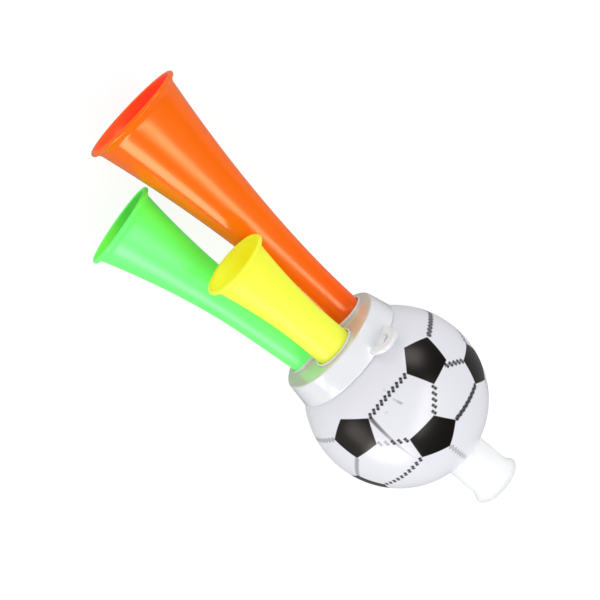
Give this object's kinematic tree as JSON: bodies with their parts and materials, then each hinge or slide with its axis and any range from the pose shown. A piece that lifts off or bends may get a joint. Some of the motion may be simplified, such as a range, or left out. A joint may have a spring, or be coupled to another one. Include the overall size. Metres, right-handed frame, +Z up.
{
  "type": "stadium horn",
  "caption": "Hand-held stadium horn: flared trumpets of unlike length plug into a capped hollow football, blown through a mouthpiece.",
  "frame": {"origin": "centre of the bounding box in plan, on the table that the horn lies on", "axes": "+X towards the bells, +Z up, +Y towards the middle trumpet's side"},
  "size_m": [0.234, 0.0826, 0.0796],
  "materials": {
    "ball_plastic": "glossy white with a printed black football pattern",
    "cap_plastic": "glossy white",
    "mouthpiece_plastic": "translucent white",
    "orange_plastic": "glossy fluorescent orange",
    "green_plastic": "glossy fluorescent green",
    "yellow_plastic": "glossy fluorescent yellow",
    "reed_plastic": "matt white",
    "tongue_film": "clear film"
  },
  "bodies": {
    "air_chamber": {"ball_shell_left": "ball_plastic", "ball_shell_right": "ball_plastic", "cap": "cap_plastic", "mouthpiece": "mouthpiece_plastic"},
    "long_trumpet": {"long_trumpet": "orange_plastic", "long_reed_holder": "reed_plastic", "long_reed_bed": "reed_plastic", "long_reed_wedge": "reed_plastic"},
    "long_reed": {"long_reed_tongue": "tongue_film"},
    "middle_trumpet": {"middle_trumpet": "green_plastic", "middle_reed_holder": "reed_plastic", "middle_reed_bed": "reed_plastic", "middle_reed_wedge": "reed_plastic"},
    "middle_reed": {"middle_reed_tongue": "tongue_film"},
    "short_trumpet": {"short_trumpet": "yellow_plastic", "short_reed_holder": "reed_plastic", "short_reed_bed": "reed_plastic", "short_reed_wedge": "reed_plastic"},
    "short_reed": {"short_reed_tongue": "tongue_film"}
  },
  "joints": [
    {"name": "long_trumpet_slide", "type": "slide", "parent": "air_chamber", "child": "long_trumpet", "axis": [0.9968, -0.0476, -0.0646], "range_m": [0, 0.01]},
    {"name": "long_reed_flex", "type": "hinge", "parent": "long_trumpet", "child": "long_reed", "pos_m": [-0.02273, -0.01201, 0.03243], "axis": [0.0391, -0.4154, 0.9088], "range_deg": [-2.4, 2], "stiffness_Nm_per_rad": 0.02},
    {"name": "middle_trumpet_slide", "type": "slide", "parent": "air_chamber", "child": "middle_trumpet", "axis": [0.9901, 0.0908, -0.1073], "range_m": [0, 0.01]},
    {"name": "middle_reed_flex", "type": "hinge", "parent": "middle_trumpet", "child": "middle_reed", "pos_m": [-0.02285, 0.0129, 0.0304], "axis": [-0.035, -0.5801, -0.8138], "range_deg": [-2.4, 2], "stiffness_Nm_per_rad": 0.02},
    {"name": "short_trumpet_slide", "type": "slide", "parent": "air_chamber", "child": "short_trumpet", "axis": [1, 0.004, -0.0013], "range_m": [0, 0.01]},
    {"name": "short_reed_flex", "type": "hinge", "parent": "short_trumpet", "child": "short_reed", "pos_m": [-0.02182, 0.00284, 0.05337], "axis": [-0.0041, 0.9955, -0.095], "range_deg": [-2.4, 2], "stiffness_Nm_per_rad": 0.02}
  ]
}
